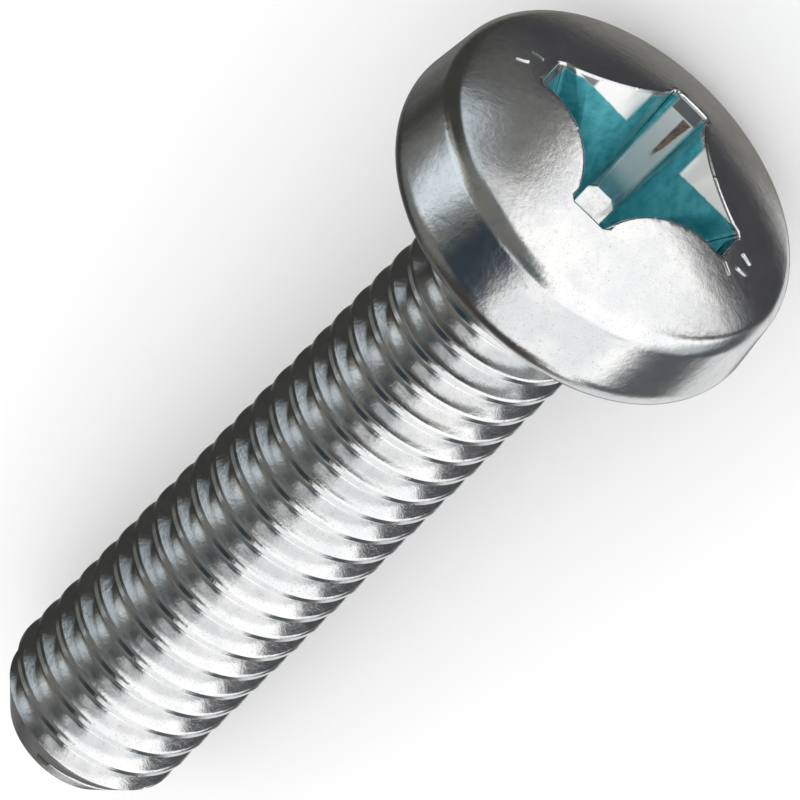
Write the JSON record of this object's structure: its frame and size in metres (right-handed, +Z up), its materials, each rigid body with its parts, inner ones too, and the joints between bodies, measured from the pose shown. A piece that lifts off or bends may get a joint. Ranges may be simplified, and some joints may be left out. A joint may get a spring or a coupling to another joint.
{
  "type": "machine screw",
  "caption": "Pan head machine screw, M6 x 25, fully threaded, with a cross recess in its domed head.",
  "frame": {"origin": "on the surface that the screw lies on, under the middle of its bounding box", "axes": "+Z up; +X along the floor from the end of the thread to the head; the screw's own axis lies in the XZ plane and rises 7.10 degrees towards the head"},
  "size_m": [0.0297, 0.012, 0.012],
  "materials": {
    "zinc_plated_steel": "bright zinc plate with a blue passivate, glossy with fine rolling and handling marks"
  },
  "bodies": {
    "root": {"screw": "zinc_plated_steel"}
  },
  "joints": []
}
